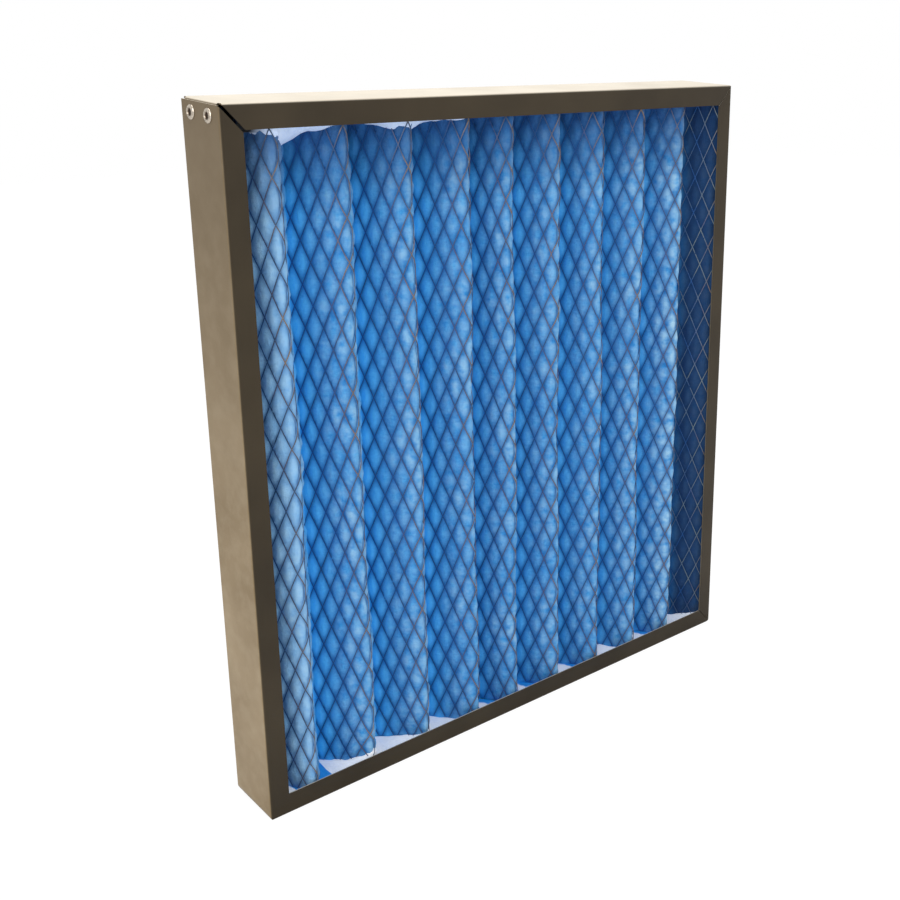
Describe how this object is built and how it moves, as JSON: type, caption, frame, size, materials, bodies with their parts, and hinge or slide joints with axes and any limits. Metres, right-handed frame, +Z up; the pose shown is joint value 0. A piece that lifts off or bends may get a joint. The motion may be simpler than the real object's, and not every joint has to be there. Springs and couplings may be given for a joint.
{
  "type": "pleated panel air filter",
  "caption": "Square pleated panel air filter: folded steel channel frame with a riveted corner, two-colour felt media and a diamond support mesh.",
  "frame": {"origin": "on the base, in the middle of the frame's width and depth", "axes": "+X across the width, +Y through the depth in the direction of the air flow's back side (the mesh side faces -Y), +Z up"},
  "size_m": [0.4976, 0.047, 0.5006],
  "materials": {
    "frame_steel": "galvanised sheet, dull",
    "rivet_steel": "zinc plated",
    "felt": "loose felt, blue front and white back",
    "mesh_steel": "expanded metal, lying in blue fibres"
  },
  "bodies": {
    "root": {"channel_frame": "frame_steel", "pleated_media": "felt", "support_mesh": "mesh_steel", "blind_rivets": "rivet_steel"}
  },
  "joints": []
}
